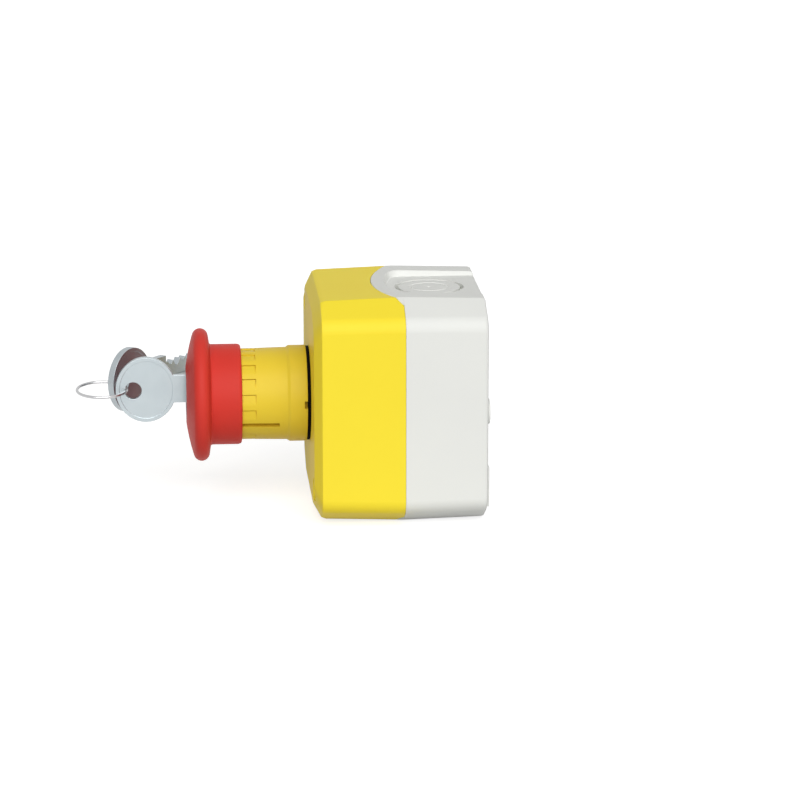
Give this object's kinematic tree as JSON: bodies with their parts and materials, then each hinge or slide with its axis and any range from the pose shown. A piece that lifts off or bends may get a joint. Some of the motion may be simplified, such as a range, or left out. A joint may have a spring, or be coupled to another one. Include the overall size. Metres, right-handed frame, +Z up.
{
  "type": "emergency stop push button station",
  "caption": "Wall box with a yellow lid, a grey base and a red mushroom emergency stop head that a key releases, with a spare key on a ring.",
  "frame": {"origin": "middle between the two wall screw holes, on the wall plane behind the box", "axes": "+Y into the wall, the mushroom head points along -Y, +Z up, +X to the right of someone who faces the head"},
  "size_m": [0.071, 0.1221, 0.068],
  "materials": {
    "grey_plastic": "satin",
    "yellow_plastic": "satin",
    "sleeve_yellow": "satin",
    "red_plastic": "satin",
    "black_rubber": "matte",
    "dark_plastic": "matte",
    "white_plastic": "satin",
    "red_cover": "satin",
    "green_cover": "satin",
    "screw_steel": "satin",
    "spring_steel": "satin",
    "latch_steel": "satin",
    "lock_metal": "nickel plated",
    "key_metal": "nickel plated",
    "spare_key_metal": "nickel plated",
    "ring_wire": "polished",
    "contact_brass": "satin"
  },
  "bodies": {
    "enclosure": {"base_box": "grey_plastic", "front_lid": "yellow_plastic", "lid_seal": "black_rubber", "lid_screws": "screw_steel", "head_sleeve": "sleeve_yellow", "head_gasket": "black_rubber", "fixing_nut": "dark_plastic", "nc_housing": "dark_plastic", "nc_cover": "red_cover", "nc_fixed_contacts": "contact_brass", "no_housing": "dark_plastic", "no_cover": "green_cover", "no_fixed_contacts": "contact_brass", "clamp_plates": "screw_steel", "terminal_screws": "screw_steel", "block_screws": "screw_steel", "return_spring": "spring_steel", "nc_spring": "spring_steel", "no_spring": "spring_steel"},
    "button": {"mushroom_cap": "red_plastic", "lock_case": "lock_metal", "lock_retainer": "lock_metal", "ram": "white_plastic", "pusher_plate": "dark_plastic", "pusher_screw": "screw_steel"},
    "lock": {"lock_plug": "lock_metal", "latch_collar": "latch_steel", "collar_screw": "screw_steel"},
    "key": {"operating_key": "key_metal"},
    "ring": {"key_ring": "ring_wire"},
    "spare": {"spare_key": "spare_key_metal"},
    "nc_contact": {"nc_plunger": "white_plastic", "nc_bridge": "contact_brass"},
    "no_contact": {"no_plunger": "white_plastic", "no_bridge": "contact_brass"}
  },
  "joints": [
    {"name": "button_push", "type": "slide", "parent": "enclosure", "child": "button", "axis": [0, 1, 0], "range_m": [0, 0.005], "stiffness_N_per_m": 2500, "springref_m": -0.004, "deforming": ["return_spring"]},
    {"name": "nc_plunge", "type": "slide", "parent": "enclosure", "child": "nc_contact", "axis": [0, 1, 0], "range_m": [0, 0.005], "deforming": ["nc_spring"]},
    {"name": "no_plunge", "type": "slide", "parent": "enclosure", "child": "no_contact", "axis": [0, 1, 0], "range_m": [0, 0.005], "deforming": ["no_spring"]},
    {"name": "key_turn", "type": "hinge", "parent": "button", "child": "lock", "pos_m": [0, -0.0844, 0], "axis": [0, 1, 0], "range_deg": [0, 45], "stiffness_Nm_per_rad": 0.02, "springref_deg": -17.19},
    {"name": "key_withdraw", "type": "slide", "parent": "lock", "child": "key", "axis": [0, -1, 0], "range_m": [0, 0.03]},
    {"name": "ring_swing", "type": "hinge", "parent": "key", "child": "ring", "pos_m": [0, -0.1068, 0.00204], "axis": [1, 0, 0], "range_deg": [-30, 30]},
    {"name": "spare_swing", "type": "hinge", "parent": "ring", "child": "spare", "pos_m": [-0.00572, -0.10951, 0.00251], "axis": [0.6293, 0.7771, 0], "range_deg": [-75, 45]}
  ],
  "couplings": [
    {"joint": "nc_plunge", "follows": "button_push", "ratio": 1},
    {"joint": "no_plunge", "follows": "button_push", "ratio": 1}
  ]
}
